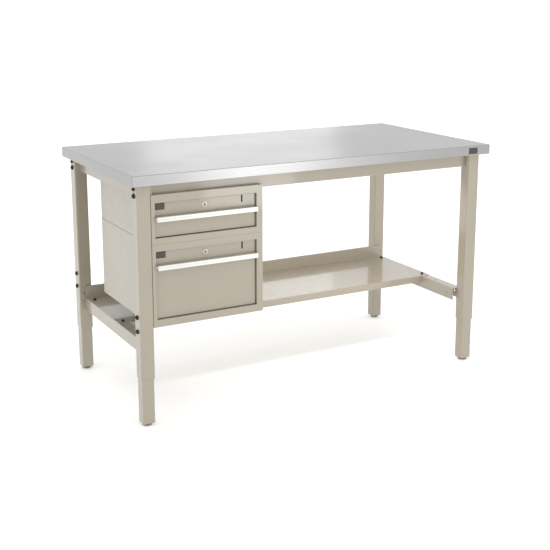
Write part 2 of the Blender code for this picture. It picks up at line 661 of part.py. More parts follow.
def slide_pair(level, look, parent):
    """Outer members on the housing walls, inner members on the drawer sides."""
    low, _ = front_span(level)
    middle = low + SLIDE_HEIGHT
    outer_front = BOX_FRONT + 0.002
    sides = {
        "left": (CABINET_LEFT + HOUSING_SHEET + GAP, BOX_LEFT - GAP, 1),
        "right": (CABINET_RIGHT - HOUSING_SHEET - GAP, BOX_RIGHT + GAP, -1),
    }
    for side, (wall, drawer, inward) in sides.items():
        reach = abs(drawer - wall) - 2 * SLIDE_SHEET
        tip = wall + inward * reach
        half = SLIDE_HEIGHT / 2
        outer_path = [(tip, middle + half), (wall, middle + half),
                      (wall, middle - half), (tip, middle - half)]
        root = drawer - inward * SLIDE_FLANGE
        half -= SLIDE_SHEET + 4 * GAP
        inner_path = [(root, middle - half), (drawer, middle - half),
                      (drawer, middle + half), (root, middle + half)]
        if inward < 0:
            outer_path.reverse()
            inner_path.reverse()
        outer = prism(folded_sheet(outer_path, SLIDE_SHEET, 0.0020), "Y",
                      outer_front, outer_front + SLIDE_LENGTH)
        place(f"slide_outer_{level}_{side}", outer, look, (wall, outer_front, middle))
        inner = prism(folded_sheet(inner_path, SLIDE_SHEET, 0.0020), "Y",
                      BOX_FRONT, BOX_FRONT + SLIDE_LENGTH)
        place(f"slide_inner_{level}_{side}", inner, look, (drawer, BOX_FRONT, middle), parent)


# ---------------------------------------------------------------- locks

def lock_body(level, look, parent):
    flange_radius, flange_depth = LOCK_FLANGE
    barrel_radius, barrel_depth = LOCK_BARREL
    profile = [(LOCK_BORE, -flange_depth - GAP), (flange_radius, -flange_depth - GAP),
               (flange_radius, -GAP), (barrel_radius, -GAP), (barrel_radius, barrel_depth),
               (LOCK_BORE, barrel_depth), (LOCK_BORE, -flange_depth - GAP)]
    centre = (LOCK_X, DRAWER_FACE, lock_height(level))
    place(f"lock_body_{level}", turned(profile, 20, "Y", centre), look, centre, parent)


def lock_plug(level, look, pivot):
    """Turning plug with a key slot; its slim tail carries the cam."""
    back = LOCK_BARREL[1]
    front = -LOCK_FLANGE[1] - GAP
    profile = [(0.0, front), (PLUG_RADIUS, front), (PLUG_RADIUS, back + GAP),
               (0.6 * PLUG_RADIUS, back + GAP), (0.6 * PLUG_RADIUS, back + 4 * GAP + CAM_THICKNESS),
               (0.0, back + 4 * GAP + CAM_THICKNESS)]
    x, y, z = LOCK_X, DRAWER_FACE, lock_height(level)
    plug = turned(profile, ROUND, "Y", (x, y, z))
    slot = box((x - 0.0008, y + front - BEYOND, z - 0.0036), (x + 0.0008, y + front + 0.004, z + 0.0036))
    place(f"lock_plug_{level}", cut(plug, slot), look, (x, y, z), pivot)


def lock_cam(level, look, pivot):
    """Latch plate: it points along +X when open and turns up behind the housing when locked."""
    x, z = LOCK_X, lock_height(level)
    near = DRAWER_FACE + LOCK_BARREL[1] + 2 * GAP
    half = CAM_WIDTH / 2
    ring = [(x + half * math.cos(angle), z + half * math.sin(angle))
            for angle in (math.pi / 2 + step * math.pi / 8 for step in range(9))]
    outline = ring + [(x + CAM_LENGTH, z - half), (x + CAM_LENGTH, z + half)]
    plate = prism(outline, "Y", near, near + CAM_THICKNESS)
    eye = rod(0.6 * PLUG_RADIUS + GAP, near - BEYOND, near + CAM_THICKNESS + BEYOND, "Y", (x, 0.0, z))
    place(f"lock_cam_{level}", cut(plate, eye), look, (x, DRAWER_FACE, z), pivot)


# ---------------------------------------------------------------- assembly

clear_scene()
None_look = material("construction", (0.5, 0.5, 0.5), 0.0, 0.5)
stainless = material("stainless", (0.60, 0.60, 0.59), 1.0, 0.32)
board = material("board", (0.42, 0.29, 0.16), 0.0, 0.85)
paint = material("tan_paint", (0.55, 0.49, 0.38), 0.0, 0.38)
black_steel = material("black_steel", (0.015, 0.015, 0.016), 1.0, 0.45)
zinc = material("zinc", (0.55, 0.56, 0.58), 1.0, 0.35)
aluminium = material("aluminium", (0.85, 0.85, 0.84), 1.0, 0.28)
lock_metal = material("lock_metal", (0.72, 0.70, 0.64), 1.0, 0.25)
black_plastic = material("black_plastic", (0.02, 0.02, 0.02), 0.0, 0.35)

top_skin(stainless)
top_core(board)
top_badge(black_plastic)

for corner_name in CORNERS:
    upper_leg(corner_name, paint)
    lower_leg(corner_name, paint)
    foot(corner_name, zinc)
    rail_bolts(corner_name, black_steel)
    clamp_bolts(corner_name, black_steel)

for side_name, side_sign in (("left", -1), ("right", 1)):
    end_rail(f"upper_end_rail_{side_name}", side_sign, UPPER_RAIL_BOTTOM, TOP_UNDERSIDE - GAP,
             UPPER_RAIL_LIP, (), paint)
    end_rail(f"lower_end_rail_{side_name}", side_sign, LOWER_RAIL_BOTTOM, LOWER_RAIL_TOP,
             LOWER_RAIL_HEIGHT, END_RAIL_HOLES, paint)
long_rail("front_rail", LEG_FRONT + LONG_RAIL_SETBACK, 1, paint)
long_rail("rear_rail", LEG_BACK - LONG_RAIL_SETBACK, -1, paint)
hanger_channel(paint)
lower_shelf(paint)
shelf_bolts(black_steel)

for level_name in OPENINGS:
    housing(level_name, paint)
    carriage = empty(f"carriage_{level_name}", (DRAWER_LEFT, DRAWER_FACE, front_span(level_name)[0]))
    drawer_front(level_name, paint, carriage)
    drawer_box(level_name, paint, carriage)
    handle(level_name, aluminium, carriage)
    label_plate(level_name, black_plastic, carriage)
    slide_pair(level_name, zinc, carriage)
    lock_body(level_name, lock_metal, carriage)
    lock_plug(level_name, lock_metal, carriage)
    lock_cam(level_name, zinc, carriage)
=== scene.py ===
"""Looks of the steel workbench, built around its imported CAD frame."""

import json
import math

import bmesh
import bpy
from mathutils import Matrix, Vector

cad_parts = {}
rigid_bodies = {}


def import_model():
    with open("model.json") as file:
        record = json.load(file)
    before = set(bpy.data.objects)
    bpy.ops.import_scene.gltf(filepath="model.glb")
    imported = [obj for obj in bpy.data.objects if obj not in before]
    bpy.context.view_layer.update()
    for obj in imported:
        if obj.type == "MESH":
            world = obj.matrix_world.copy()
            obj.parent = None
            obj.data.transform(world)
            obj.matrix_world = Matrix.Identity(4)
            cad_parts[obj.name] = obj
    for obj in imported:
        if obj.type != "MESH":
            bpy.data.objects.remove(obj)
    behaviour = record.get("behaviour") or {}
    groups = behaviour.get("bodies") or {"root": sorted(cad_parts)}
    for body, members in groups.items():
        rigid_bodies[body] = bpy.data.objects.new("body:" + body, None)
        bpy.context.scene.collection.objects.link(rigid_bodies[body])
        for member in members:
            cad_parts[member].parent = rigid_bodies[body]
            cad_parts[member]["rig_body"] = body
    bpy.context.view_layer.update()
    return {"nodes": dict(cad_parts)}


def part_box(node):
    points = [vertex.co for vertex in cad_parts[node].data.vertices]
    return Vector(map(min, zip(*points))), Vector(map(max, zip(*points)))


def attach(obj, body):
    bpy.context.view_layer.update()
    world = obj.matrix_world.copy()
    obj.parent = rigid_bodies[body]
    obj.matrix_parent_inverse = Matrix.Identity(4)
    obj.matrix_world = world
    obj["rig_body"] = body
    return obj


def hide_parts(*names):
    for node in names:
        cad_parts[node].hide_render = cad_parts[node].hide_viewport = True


INCH = 0.0254
CORNERS = ("fl", "fr", "bl", "br")
LEVELS = ("upper", "lower")
SIDES = ("left", "right")

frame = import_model()
nodes = frame["nodes"]


# ---------------------------------------------------------------- node helpers

class Shader:
    """A material with a Principled shader and short calls for the nodes that feed it."""

    def __init__(self, name, colour, metallic=0.0, roughness=0.5):
        self.material = bpy.data.materials.new(name)
        self.material.use_nodes = True
        self.tree = self.material.node_tree
        self.out = self.tree.nodes["Principled BSDF"]
        self.set(**{"Base Color": (*colour, 1.0), "Metallic": metallic, "Roughness": roughness})
        self.place = self.add("ShaderNodeTexCoord").outputs["Object"]

    def set(self, **values):
        for socket, value in values.items():
            self.out.inputs[socket].default_value = value

    def add(self, kind, **inputs):
        item = self.tree.nodes.new(kind)
        for socket, value in inputs.items():
            self.feed(item.inputs[socket.replace("_", " ")], value)
        return item

    def feed(self, socket, value):
        if isinstance(value, bpy.types.NodeSocket):
            self.tree.links.new(value, socket)
        else:
            socket.default_value = value

    def drive(self, socket, value):
        self.tree.links.new(value, self.out.inputs[socket])

    def scaled(self, factors, source=None):
        item = self.add("ShaderNodeMapping", Vector=source or self.place)
        item.inputs["Scale"].default_value = factors
        return item.outputs["Vector"]

    def noise(self, vector, scale, detail=2.0, roughness=0.5):
        item = self.add("ShaderNodeTexNoise", Vector=vector, Scale=scale, Detail=detail,
                        Roughness=roughness)
        return item.outputs["Fac"]

    def spread(self, value, low, high, start=0.3, end=0.7):
        """Map the useful part of a noise to a range."""
        item = self.add("ShaderNodeMapRange", Value=value)
        item.inputs["From Min"].default_value = start
        item.inputs["From Max"].default_value = end
        item.inputs["To Min"].default_value = low
        item.inputs["To Max"].default_value = high
        return item.outputs["Result"]

    def blend(self, factor, first, second):
        item = self.tree.nodes.new("ShaderNodeMix")
        item.data_type = "RGBA"
        self.feed(item.inputs["Factor"], factor)
        self.feed(item.inputs["A"], first if isinstance(first, bpy.types.NodeSocket) else (*first, 1.0))
        self.feed(item.inputs["B"], second if isinstance(second, bpy.types.NodeSocket) else (*second, 1.0))
        return item.outputs["Result"]

    def bump(self, height, strength, distance, below=None):
        item = self.add("ShaderNodeBump", Height=height, Strength=strength, Distance=distance)
        if below:
            self.feed(item.inputs["Normal"], below)
        return item.outputs["Normal"]


def tint(colour, factor):
    return tuple(min(1.0, part * factor) for part in colour)


# ---------------------------------------------------------------- materials

def powder_coat(name, colour, roughness, coat):
    """Semi-gloss powder coat: orange peel, a faint mottle and slightly uneven gloss."""
    look = Shader(name, colour, 0.0, roughness)
    mottle = look.noise(look.place, 5.0, 3.0)
    speck = look.noise(look.place, 1400.0, 1.0)
    base = look.blend(look.spread(mottle, 0.0, 1.0), tint(colour, 0.975), tint(colour, 1.02))
    base = look.blend(look.spread(speck, 0.0, 0.22, 0.45, 0.75), base, tint(colour, 0.86))
    look.drive("Base Color", base)
    look.drive("Roughness", look.spread(look.noise(look.place, 38.0, 2.0), roughness - 0.04,
                                        roughness + 0.05))
    peel = look.noise(look.place, 620.0, 2.0, 0.45)
    wave = look.noise(look.place, 28.0, 1.0)
    normal = look.bump(wave, 0.10, 0.0006)
    look.drive("Normal", look.bump(peel, 0.16, 0.0002, normal))
    look.set(**{"Coat Weight": coat, "Coat Roughness": 0.08, "Coat IOR": 1.5})
    return look.material


def brushed(name, colour, roughness, grain, strength):
    """Brushed metal; `grain` scales the coordinates so that the scratches run along one axis."""
    look = Shader(name, colour, 1.0, roughness)
    fine = look.noise(look.scaled(grain), 1.0, 3.0, 0.65)
    broad = look.noise(look.scaled(tuple(part * 0.16 for part in grain)), 1.0, 2.0)
    cloud = look.noise(look.place, 4.0, 3.0)
    tone = look.blend(look.spread(fine, 0.0, 1.0), tint(colour, 0.93), tint(colour, 1.05))
    tone = look.blend(look.spread(broad, 0.0, 0.35), tone, tint(colour, 0.95))
    look.drive("Base Color", tone)
    level = look.add("ShaderNodeMath", Value=look.spread(fine, roughness - 0.05, roughness + 0.05))
    level.operation = "ADD"
    look.feed(level.inputs[1], look.spread(cloud, 0.0, 0.05))
    look.drive("Roughness", level.outputs[0])
    look.drive("Normal", look.bump(fine, strength, 0.00006))
    return look.material


def worktop_steel(name, colour, roughness):
    """Stainless sheet: the grain runs along the bench, so it turns upright on the two folded ends."""
    look = Shader(name, colour, 1.0, roughness)
    along = look.scaled((2.2, 900.0, 900.0))
    upright = look.scaled((900.0, 900.0, 2.2))
    facing = look.add("ShaderNodeNewGeometry").outputs["True Normal"]
    split = look.add("ShaderNodeSeparateXYZ", Vector=facing)
    side = look.add("ShaderNodeMath", Value=split.outputs["X"])
    side.operation = "ABSOLUTE"
    at_end = look.spread(side.outputs[0], 0.0, 1.0, 0.6, 0.8)
    pick = look.tree.nodes.new("ShaderNodeMix")
    pick.data_type = "VECTOR"
    look.feed(pick.inputs["Factor"], at_end)
    look.feed(pick.inputs[4], along)
    look.feed(pick.inputs[5], upright)
    grain = look.noise(pick.outputs[1], 1.0, 3.0, 0.7)
    streak = look.noise(look.scaled((0.7, 60.0, 60.0)), 1.0, 2.0)
    cloud = look.noise(look.place, 2.6, 3.0)
    tone = look.blend(look.spread(grain, 0.0, 1.0), tint(colour, 0.94), tint(colour, 1.05))
    tone = look.blend(look.spread(streak, 0.0, 0.30), tone, tint(colour, 0.94))
    look.drive("Base Color", tone)
    level = look.add("ShaderNodeMath", Value=look.spread(grain, roughness - 0.04, roughness + 0.05))
    level.operation = "ADD"
    look.feed(level.inputs[1], look.spread(cloud, 0.0, 0.05))
    look.drive("Roughness", level.outputs[0])
    look.drive("Normal", look.bump(grain, 0.22, 0.00006))
    return look.material


def plated(name, colour, roughness):
    """Zinc plate: cool metal with soft cloudy patches."""
    look = Shader(name, colour, 1.0, roughness)
    cloud = look.noise(look.place, 60.0, 4.0, 0.6)
    look.drive("Base Color", look.blend(look.spread(cloud, 0.0, 1.0), tint(colour, 0.90),
                                        (colour[0] * 1.04, colour[1] * 1.03, colour[2] * 0.98)))
    look.drive("Roughness", look.spread(cloud, roughness - 0.06, roughness + 0.10))
    look.drive("Normal", look.bump(look.noise(look.place, 900.0, 2.0), 0.10, 0.00008))
    return look.material


def black_oxide(name):
    look = Shader(name, (0.020, 0.020, 0.021), 0.85, 0.38)
    cloud = look.noise(look.place, 320.0, 3.0)
    look.drive("Base Color", look.blend(look.spread(cloud, 0.0, 1.0), (0.012, 0.012, 0.013),
                                        (0.034, 0.033, 0.032)))
    look.drive("Roughness", look.spread(cloud, 0.30, 0.48))
    look.drive("Normal", look.bump(cloud, 0.10, 0.00008))
    return look.material


def moulded(name, colour, roughness):
    look = Shader(name, colour, 0.0, roughness)
    grain = look.noise(look.place, 1500.0, 2.0)
    look.drive("Base Color", look.blend(look.spread(grain, 0.0, 1.0), tint(colour, 0.8),
                                        tint(colour, 1.25)))
    look.drive("Roughness", look.spread(grain, roughness - 0.05, roughness + 0.06))
    look.drive("Normal", look.bump(grain, 0.15, 0.00006))
    return look.material


def chip_board(name):
    look = Shader(name, (0.42, 0.30, 0.17), 0.0, 0.85)
    chips = look.add("ShaderNodeTexVoronoi", Vector=look.scaled((1.0, 2.2, 2.0)), Scale=240.0)
    tone = look.spread(chips.outputs["Color"], 0.0, 1.0, 0.0, 1.0)
    look.drive("Base Color", look.blend(tone, (0.30, 0.20, 0.10), (0.56, 0.42, 0.25)))
    look.drive("Normal", look.bump(chips.outputs["Distance"], 0.35, 0.0006))
    return look.material


LOOKS = {
    "tan_paint": powder_coat("tan_paint", (0.320, 0.283, 0.219), 0.34, 0.8),
    "stainless": worktop_steel("stainless", (0.362, 0.362, 0.360), 0.27),
    "aluminium": brushed("aluminium", (0.66, 0.65, 0.615), 0.30, (6.0, 1500.0, 1500.0), 0.18),
    "zinc": plated("zinc", (0.60, 0.61, 0.62), 0.33),
    "foot_zinc": plated("foot_zinc", (0.27, 0.25, 0.21), 0.45),
    "black_steel": black_oxide("black_steel"),
    "lock_metal": brushed("lock_metal", (0.52, 0.49, 0.42), 0.34, (900.0, 6.0, 900.0), 0.1),
    "black_plastic": moulded("black_plastic", (0.022, 0.022, 0.023), 0.34),
    "board": chip_board("board"),
    "plate_face": moulded("plate_face", (0.045, 0.038, 0.032), 0.45),
}


# ---------------------------------------------------------------- shape helpers

def shown(name, solid, look, bevel=0.0, segments=2, angle=30.0):
    """Turn a bmesh into a smooth-shaded object with rounded edges."""
    bmesh.ops.recalc_face_normals(solid, faces=solid.faces)
    mesh = bpy.data.meshes.new(name)
    solid.to_mesh(mesh)
    solid.free()
    return dress(name, mesh, look, bevel, segments, angle)


def dress(name, mesh, look, bevel, segments, angle):
    mesh.materials.clear()
    mesh.materials.append(LOOKS[look])
    for face in mesh.polygons:
        face.use_smooth = True
        face.material_index = 0
    item = bpy.data.objects.new(name, mesh)
    bpy.context.scene.collection.objects.link(item)
    if bevel:
        rounding = item.modifiers.new("rounding", "BEVEL")
        rounding.width = bevel
        rounding.segments = segments
        rounding.limit_method = "ANGLE"
        rounding.angle_limit = math.radians(angle)
        rounding.harden_normals = False
    settle = item.modifiers.new("settle", "WEIGHTED_NORMAL")
    settle.keep_sharp = True
    settle.weight = 100
    return item


SOFTENED_ANGLE = 40.0     # degrees; flatter corners of a CAD shape stay unbevelled
FRAME_BEVEL = 0.0004
DRAWER_BEVEL = 0.0005
FITTING_BEVEL = 0.0003


def claim(item, body, slot, *replaced):
    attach(item, body)
    if replaced:
        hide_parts(*replaced)
    return item


def body_of(node):
    return nodes[node]["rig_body"]


def softened(node, look, bevel):
    """The CAD node's own shape with rounded edges, shown in its place."""
    solid = bmesh.new()
    solid.from_mesh(nodes[node].data)
    bmesh.ops.remove_doubles(solid, verts=solid.verts, dist=1e-6)
    bmesh.ops.dissolve_limit(solid, angle_limit=math.radians(0.4), verts=solid.verts, edges=solid.edges)
    item = shown(f"{node}.shape", solid, look, bevel, 2, SOFTENED_ANGLE)
    return claim(item, body_of(node), look, node)


def lathe(profile, sides, axis="Z", centre=(0.0, 0.0, 0.0)):
    solid = bmesh.new()
    verts = [solid.verts.new((radius, 0.0, height)) for radius, height in profile]
    edges = [solid.edges.new(pair) for pair in zip(verts, verts[1:])]
    bmesh.ops.spin(solid, geom=verts + edges, cent=(0, 0, 0), axis=(0, 0, 1), angle=math.tau,
                   steps=sides)
    bmesh.ops.remove_doubles(solid, verts=solid.verts, dist=1e-6)
    aim = {
        "Z": Matrix.Identity(4),
        "X": Matrix.Rotation(math.pi / 2, 4, "Y"),
        "-X": Matrix.Rotation(-math.pi / 2, 4, "Y"),
        "Y": Matrix.Rotation(-math.pi / 2, 4, "X"),
        "-Y": Matrix.Rotation(math.pi / 2, 4, "X"),
    }[axis]
    bmesh.ops.transform(solid, matrix=Matrix.Translation(centre) @ aim, verts=solid.verts)
    return solid


def block(low, high):
    solid = bmesh.new()
    bmesh.ops.create_cube(solid, size=1.0)
    bmesh.ops.scale(solid, verts=solid.verts, vec=Vector(high) - Vector(low))
    bmesh.ops.translate(solid, verts=solid.verts, vec=(Vector(high) + Vector(low)) / 2)
    return solid


def merged(*solids):
    """Several closed shells in one bmesh."""
    whole = bmesh.new()
    for solid in solids:
        part = bpy.data.meshes.new("part")
        solid.to_mesh(part)
        solid.free()
        whole.from_mesh(part)
        bpy.data.meshes.remove(part)
    return whole


def extruded(outline, start, end):
    """Extrude a closed (y, z) outline along X."""
    solid = bmesh.new()
    near = [solid.verts.new((start, y, z)) for y, z in outline]
    far = [solid.verts.new((end, y, z)) for y, z in outline]
    solid.faces.new(near)
    solid.faces.new(list(reversed(far)))
    count = len(outline)
    for index in range(count):
        after = (index + 1) % count
        solid.faces.new((near[index], near[after], far[after], far[index]))
    return solid


def rounded_rect(half_x, half_y, radius, steps):
    points = []
    for quarter, (sx, sy) in enumerate(((1, 1), (-1, 1), (-1, -1), (1, -1))):
        for step in range(steps + 1):
            turn = math.pi / 2 * (quarter + step / steps)
            points.append((sx * (half_x - radius) + radius * math.cos(turn),
                           sy * (half_y - radius) + radius * math.sin(turn)))
    return points


def carve(item, solid):
    """Cut a solid out of an object's mesh for good, ahead of the object's other modifiers."""
    cutter = shown("cutter", solid, "stainless")
    cutter.modifiers.clear()
    cut = item.modifiers.new("cut", "BOOLEAN")
    cut.operation = "DIFFERENCE"
    cut.solver = "EXACT"
    cut.object = cutter
    item.modifiers.move(len(item.modifiers) - 1, 0)
    bpy.context.view_layer.update()
    seen = item.evaluated_get(bpy.context.evaluated_depsgraph_get())
    carved = bpy.data.meshes.new_from_object(seen)
    item.modifiers.remove(cut)
    item.data = carved
    bpy.data.objects.remove(cutter)


# ---------------------------------------------------------------- worktop

SKIN_SHEET = 0.0015
SKIN_HEM = 1.0 * INCH
TOP_EDGE_RADIUS = 0.0022
TOP_CORNER_RADIUS = 0.0011
SEAM_START = 0.0015       # from the face of the front or back band
SEAM_END = 0.0033
SEAM_DEPTH = 0.0011


def build_worktop():
    low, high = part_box("top_skin")
    half_x, half_y = (high.x - low.x) / 2, (high.y - low.y) / 2
    sheet, edge, hem = SKIN_SHEET, TOP_EDGE_RADIUS, SKIN_HEM
    profile = []
    for step in range(6):
        turn = math.pi / 2 * step / 5
        profile.append((edge * (1 - math.sin(turn)), high.z - edge * (1 - math.cos(turn))))
    for step in range(4):
        turn = math.pi / 2 * step / 3
        profile.append((sheet * (1 - math.cos(turn)), low.z + sheet * (1 - math.sin(turn))))
    profile += [(hem, low.z), (hem, low.z + sheet), (sheet, low.z + sheet), (sheet, high.z - sheet)]
    solid = bmesh.new()
    rings = []
    for inset, height in profile:
        outline = rounded_rect(half_x - inset, half_y - inset, max(TOP_CORNER_RADIUS - inset, 0.0002), 3)
        rings.append([solid.verts.new((x, y, height)) for x, y in outline])
    for upper, lower in zip(rings, rings[1:]):
        for index in range(len(upper)):
            after = (index + 1) % len(upper)
            solid.faces.new((upper[index], upper[after], lower[after], lower[index]))
    solid.faces.new(rings[0])
    solid.faces.new(rings[-1])
    skin = shown("worktop_skin", solid, "stainless")
    claim(skin, "frame", "stainless", "top_skin")
    nodes["top_core"].data.materials.clear()
    nodes["top_core"].data.materials.append(LOOKS["board"])
    return skin


def build_corner_seams(skin):
    """The open folds where the front and back bands meet the two end bands."""
    low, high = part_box("top_skin")
    for corner in CORNERS:
        x = low.x if corner[1] == "l" else high.x
        y = low.y if corner[0] == "f" else high.y
        inward = 1 if y < 0 else -1
        near, far = sorted((y + inward * SEAM_START, y + inward * SEAM_END))
        carve(skin, block((x - SEAM_DEPTH, near, low.z - 0.001), (x + SEAM_DEPTH, far, high.z - 0.0016)))


# ---------------------------------------------------------------- fasteners

SMALL_HEAD = 0.0064
LARGE_HEAD = 0.0085
HEAD_HEIGHT = 0.0062
SHANK_RADIUS = 0.0046
RAIL_BOLTS = ((33.84 * INCH, SMALL_HEAD), (32.90 * INCH, LARGE_HEAD))
CLAMP_BOLTS = ((15.9 * INCH, LARGE_HEAD), (13.86 * INCH, LARGE_HEAD))
DOME_START = 0.0016       # height where the straight rim of a head ends
SHELF_BOLTS = 4
FOOT_PLATE = 0.0080
HEX_RADIUS = 0.0080
THREAD_CREST = 0.0046
THREAD_ROOT = 0.0040
THREAD_PITCH = 0.0015


def bolt_head(outward, centre, radius):
    """Button head with a round socket; `outward` is the axis that the head faces."""
    socket = 0.4 * radius
    dome = []
    for step in range(7):
        turn = math.pi / 2 * step / 6
        dome.append((radius * (0.56 + 0.44 * math.cos(turn)),
                     DOME_START + (HEAD_HEIGHT - DOME_START) * math.sin(turn)))
    profile = [(0.0, 0.0001), (radius * 0.96, 0.0001), (radius, 0.0006)] + dome
    profile += [(socket * 1.12, HEAD_HEIGHT - 0.0002), (socket, HEAD_HEIGHT - 0.0008),
                (socket, 0.0022), (0.0, 0.0016)]
    return lathe(profile, 36, outward, centre)


def build_bolts():
    for kind, bolts in (("rail_bolts", RAIL_BOLTS), ("clamp_bolts", CLAMP_BOLTS)):
        for corner in CORNERS:
            node = f"{kind}_{corner}"
            low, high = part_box(node)
            outward = "-X" if corner[1] == "l" else "X"
            leg_low, leg_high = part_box(f"upper_leg_{corner}")
            face = leg_low.x if corner[1] == "l" else leg_high.x
            y = (leg_low.y + leg_high.y) / 2
            heads = [bolt_head(outward, (face, y, height), radius) for height, radius in bolts]
            sign = 1 if corner[1] == "l" else -1
            inner = high.x if corner[1] == "l" else low.x
            shanks = []
            for height, _ in bolts:
                reach = abs(inner - face) * sign
                near, far = sorted((0.0, reach))
                shanks.append(lathe([(0.0, near), (SHANK_RADIUS, near), (SHANK_RADIUS, far), (0.0, far)],
                                    20, "X", (face, y, height)))
            item = shown(f"{node}.set", merged(*heads, *shanks), "black_steel")
            claim(item, "frame", "black_steel", node)
    for number in range(1, SHELF_BOLTS + 1):
        node = f"shelf_bolt_{number}"
        low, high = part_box(node)
        centre = ((low.x + high.x) / 2, (low.y + high.y) / 2, high.z - HEAD_HEIGHT)
        item = shown(f"{node}.set", bolt_head("Z", centre, SMALL_HEAD), "black_steel")
        claim(item, "frame", "black_steel", node)


def build_feet():
    """Levelling glides: dished base, hexagon adjuster and a threaded stem."""
    for corner in CORNERS:
        node = f"foot_{corner}"
        low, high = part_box(node)
        x, y = (low.x + high.x) / 2, (low.y + high.y) / 2
        radius = (high.x - low.x) / 2
        base = [(0.0, low.z), (radius - 0.0024, low.z), (radius - 0.0007, low.z + 0.0007),
                (radius, low.z + 0.0022), (radius, low.z + 0.0046), (radius - 0.0008, low.z + 0.0059),
                (radius - 0.0035, low.z + 0.0070), (radius - 0.0075, low.z + 0.0077),
                (0.0075, low.z + FOOT_PLATE), (0.0, low.z + FOOT_PLATE)]
        collar_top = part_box(f"lower_leg_{corner}")[0].z - 0.0003
        collar = [(0.0, low.z + 0.0070), (HEX_RADIUS, low.z + 0.0070), (HEX_RADIUS, collar_top),
                  (0.0, collar_top)]
        stem = [(0.0, low.z + 0.0075)]
        height = collar_top - 0.001
        while height < high.z - THREAD_PITCH:
            stem += [(THREAD_CREST, height), (THREAD_ROOT, height + THREAD_PITCH / 2)]
            height += THREAD_PITCH
        stem += [(0.0036, high.z), (0.0, high.z)]
        item = shown(f"{node}.glide", merged(lathe(base, 40), lathe(collar, 6), lathe(stem, 20)),
                     "foot_zinc", 0.0003)
        item.data.transform(Matrix.Translation((x, y, 0.0)))
        claim(item, f"glide_{corner}", "zinc", node)


# ---------------------------------------------------------------- drawers

PULL_WALL = 0.0022
PULL_LIP_RADIUS = 0.0042
PULL_INNER_RADIUS = 0.0024
PULL_INNER_DROP = 0.0046
GROOVES = 4
GROOVE_DEPTH = 0.00035
COLLAR_RIM = 0.0020
LOCK_BORE = 0.0062
LOCK_BARREL = 0.0085
PLUG_STEP = 0.0040
KEY_SLOT = (0.0009, 0.0035, 0.0036)      # half width, depth, half height


def build_handle(level):
    """Extruded pull: a rounded front lip with fine grooves and a back strip."""
    node = f"handle_{level}"
    low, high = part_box(node)
    front, back, top, foot = low.y, high.y, high.z, low.z
    wall = PULL_WALL
    outline = [(back, top - 0.8 * (top - foot)), (back, top - 0.0006), (back - 0.0006, top)]
    for step in range(7):
        turn = math.pi / 2 * step / 6
        outline.append((front + PULL_LIP_RADIUS * (1 - math.sin(turn)),
                        top - PULL_LIP_RADIUS * (1 - math.cos(turn))))
    groove_top, groove_foot = top - 0.0066, foot + 0.0034
    pitch = (groove_top - groove_foot) / GROOVES
    for number in range(GROOVES):
        start = groove_top - number * pitch
        outline += [(front, start), (front + GROOVE_DEPTH, start - 0.18 * pitch),
                    (front + GROOVE_DEPTH, start - 0.32 * pitch), (front, start - 0.5 * pitch)]
    outline += [(front, foot + 0.0008), (front + 0.0008, foot), (front + wall, foot),
                (front + wall + 0.0008, foot + 0.0010), (front + wall + 0.0004, foot + 0.0030),
                (front + wall, top - PULL_INNER_DROP)]
    for step in range(4):
        turn = math.pi / 2 * step / 3
        outline.append((front + wall + PULL_INNER_RADIUS * (1 - math.cos(turn)),
                        top - PULL_INNER_DROP + PULL_INNER_RADIUS * math.sin(turn)))
    outline += [(back - wall - 0.0010, top - wall), (back - wall, top - wall - 0.0010),
                (back - wall, top - 0.8 * (top - foot))]
    item = shown(node + ".pull", extruded(outline, low.x, high.x), "aluminium", 0.00018, 1, 50.0)
    claim(item, body_of(node), "aluminium", node)


def rounded_plate(low, high, radius, depth, lift=0.0):
    """Plate with rounded corners that faces -Y, `depth` thick, its back `lift` in front of high.y."""
    cx, cz = (low.x + high.x) / 2, (low.z + high.z) / 2
    outline = rounded_rect((high.x - low.x) / 2, (high.z - low.z) / 2, radius, 5)
    solid = bmesh.new()
    back = [solid.verts.new((cx + u, high.y - lift, cz + v)) for u, v in outline]
    front = [solid.verts.new((cx + u, high.y - lift - depth, cz + v)) for u, v in outline]
    solid.faces.new(back)
    solid.faces.new(front)
    for index in range(len(outline)):
        after = (index + 1) % len(outline)
        solid.faces.new((back[index], back[after], front[after], front[index]))
    return solid


def build_label(level):
    node = f"label_plate_{level}"
    low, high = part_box(node)
    depth = high.y - low.y
    base = rounded_plate(low, high, 0.0012, depth * 0.62)
    item = shown(f"{node}.holder", base, "black_plastic", 0.0003)
    claim(item, body_of(node), "black_plastic", node)
    inset = Vector((0.0022, 0.0, 0.0022))
    inner = rounded_plate(low + inset, high - inset, 0.0008, depth * 0.30, depth * 0.62)
    card = shown(f"{node}.face", inner, "plate_face", 0.0002)
    claim(card, body_of(node), "black_plastic")


def build_badge():
    low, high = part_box("top_badge")
    item = shown("top_badge.plate", rounded_plate(low, high, 0.0010, (high.y - low.y) * 0.7),
                 "black_plastic", 0.0001)
    claim(item, "frame", "black_plastic", "top_badge")
    inset = Vector((0.0020, 0.0, 0.0020))
    panel = shown("top_badge.face", rounded_plate(low + inset, high - inset, 0.0007,
                                                  (high.y - low.y) * 0.25, (high.y - low.y) * 0.7),
                  "plate_face")
    claim(panel, "frame", "black_plastic")


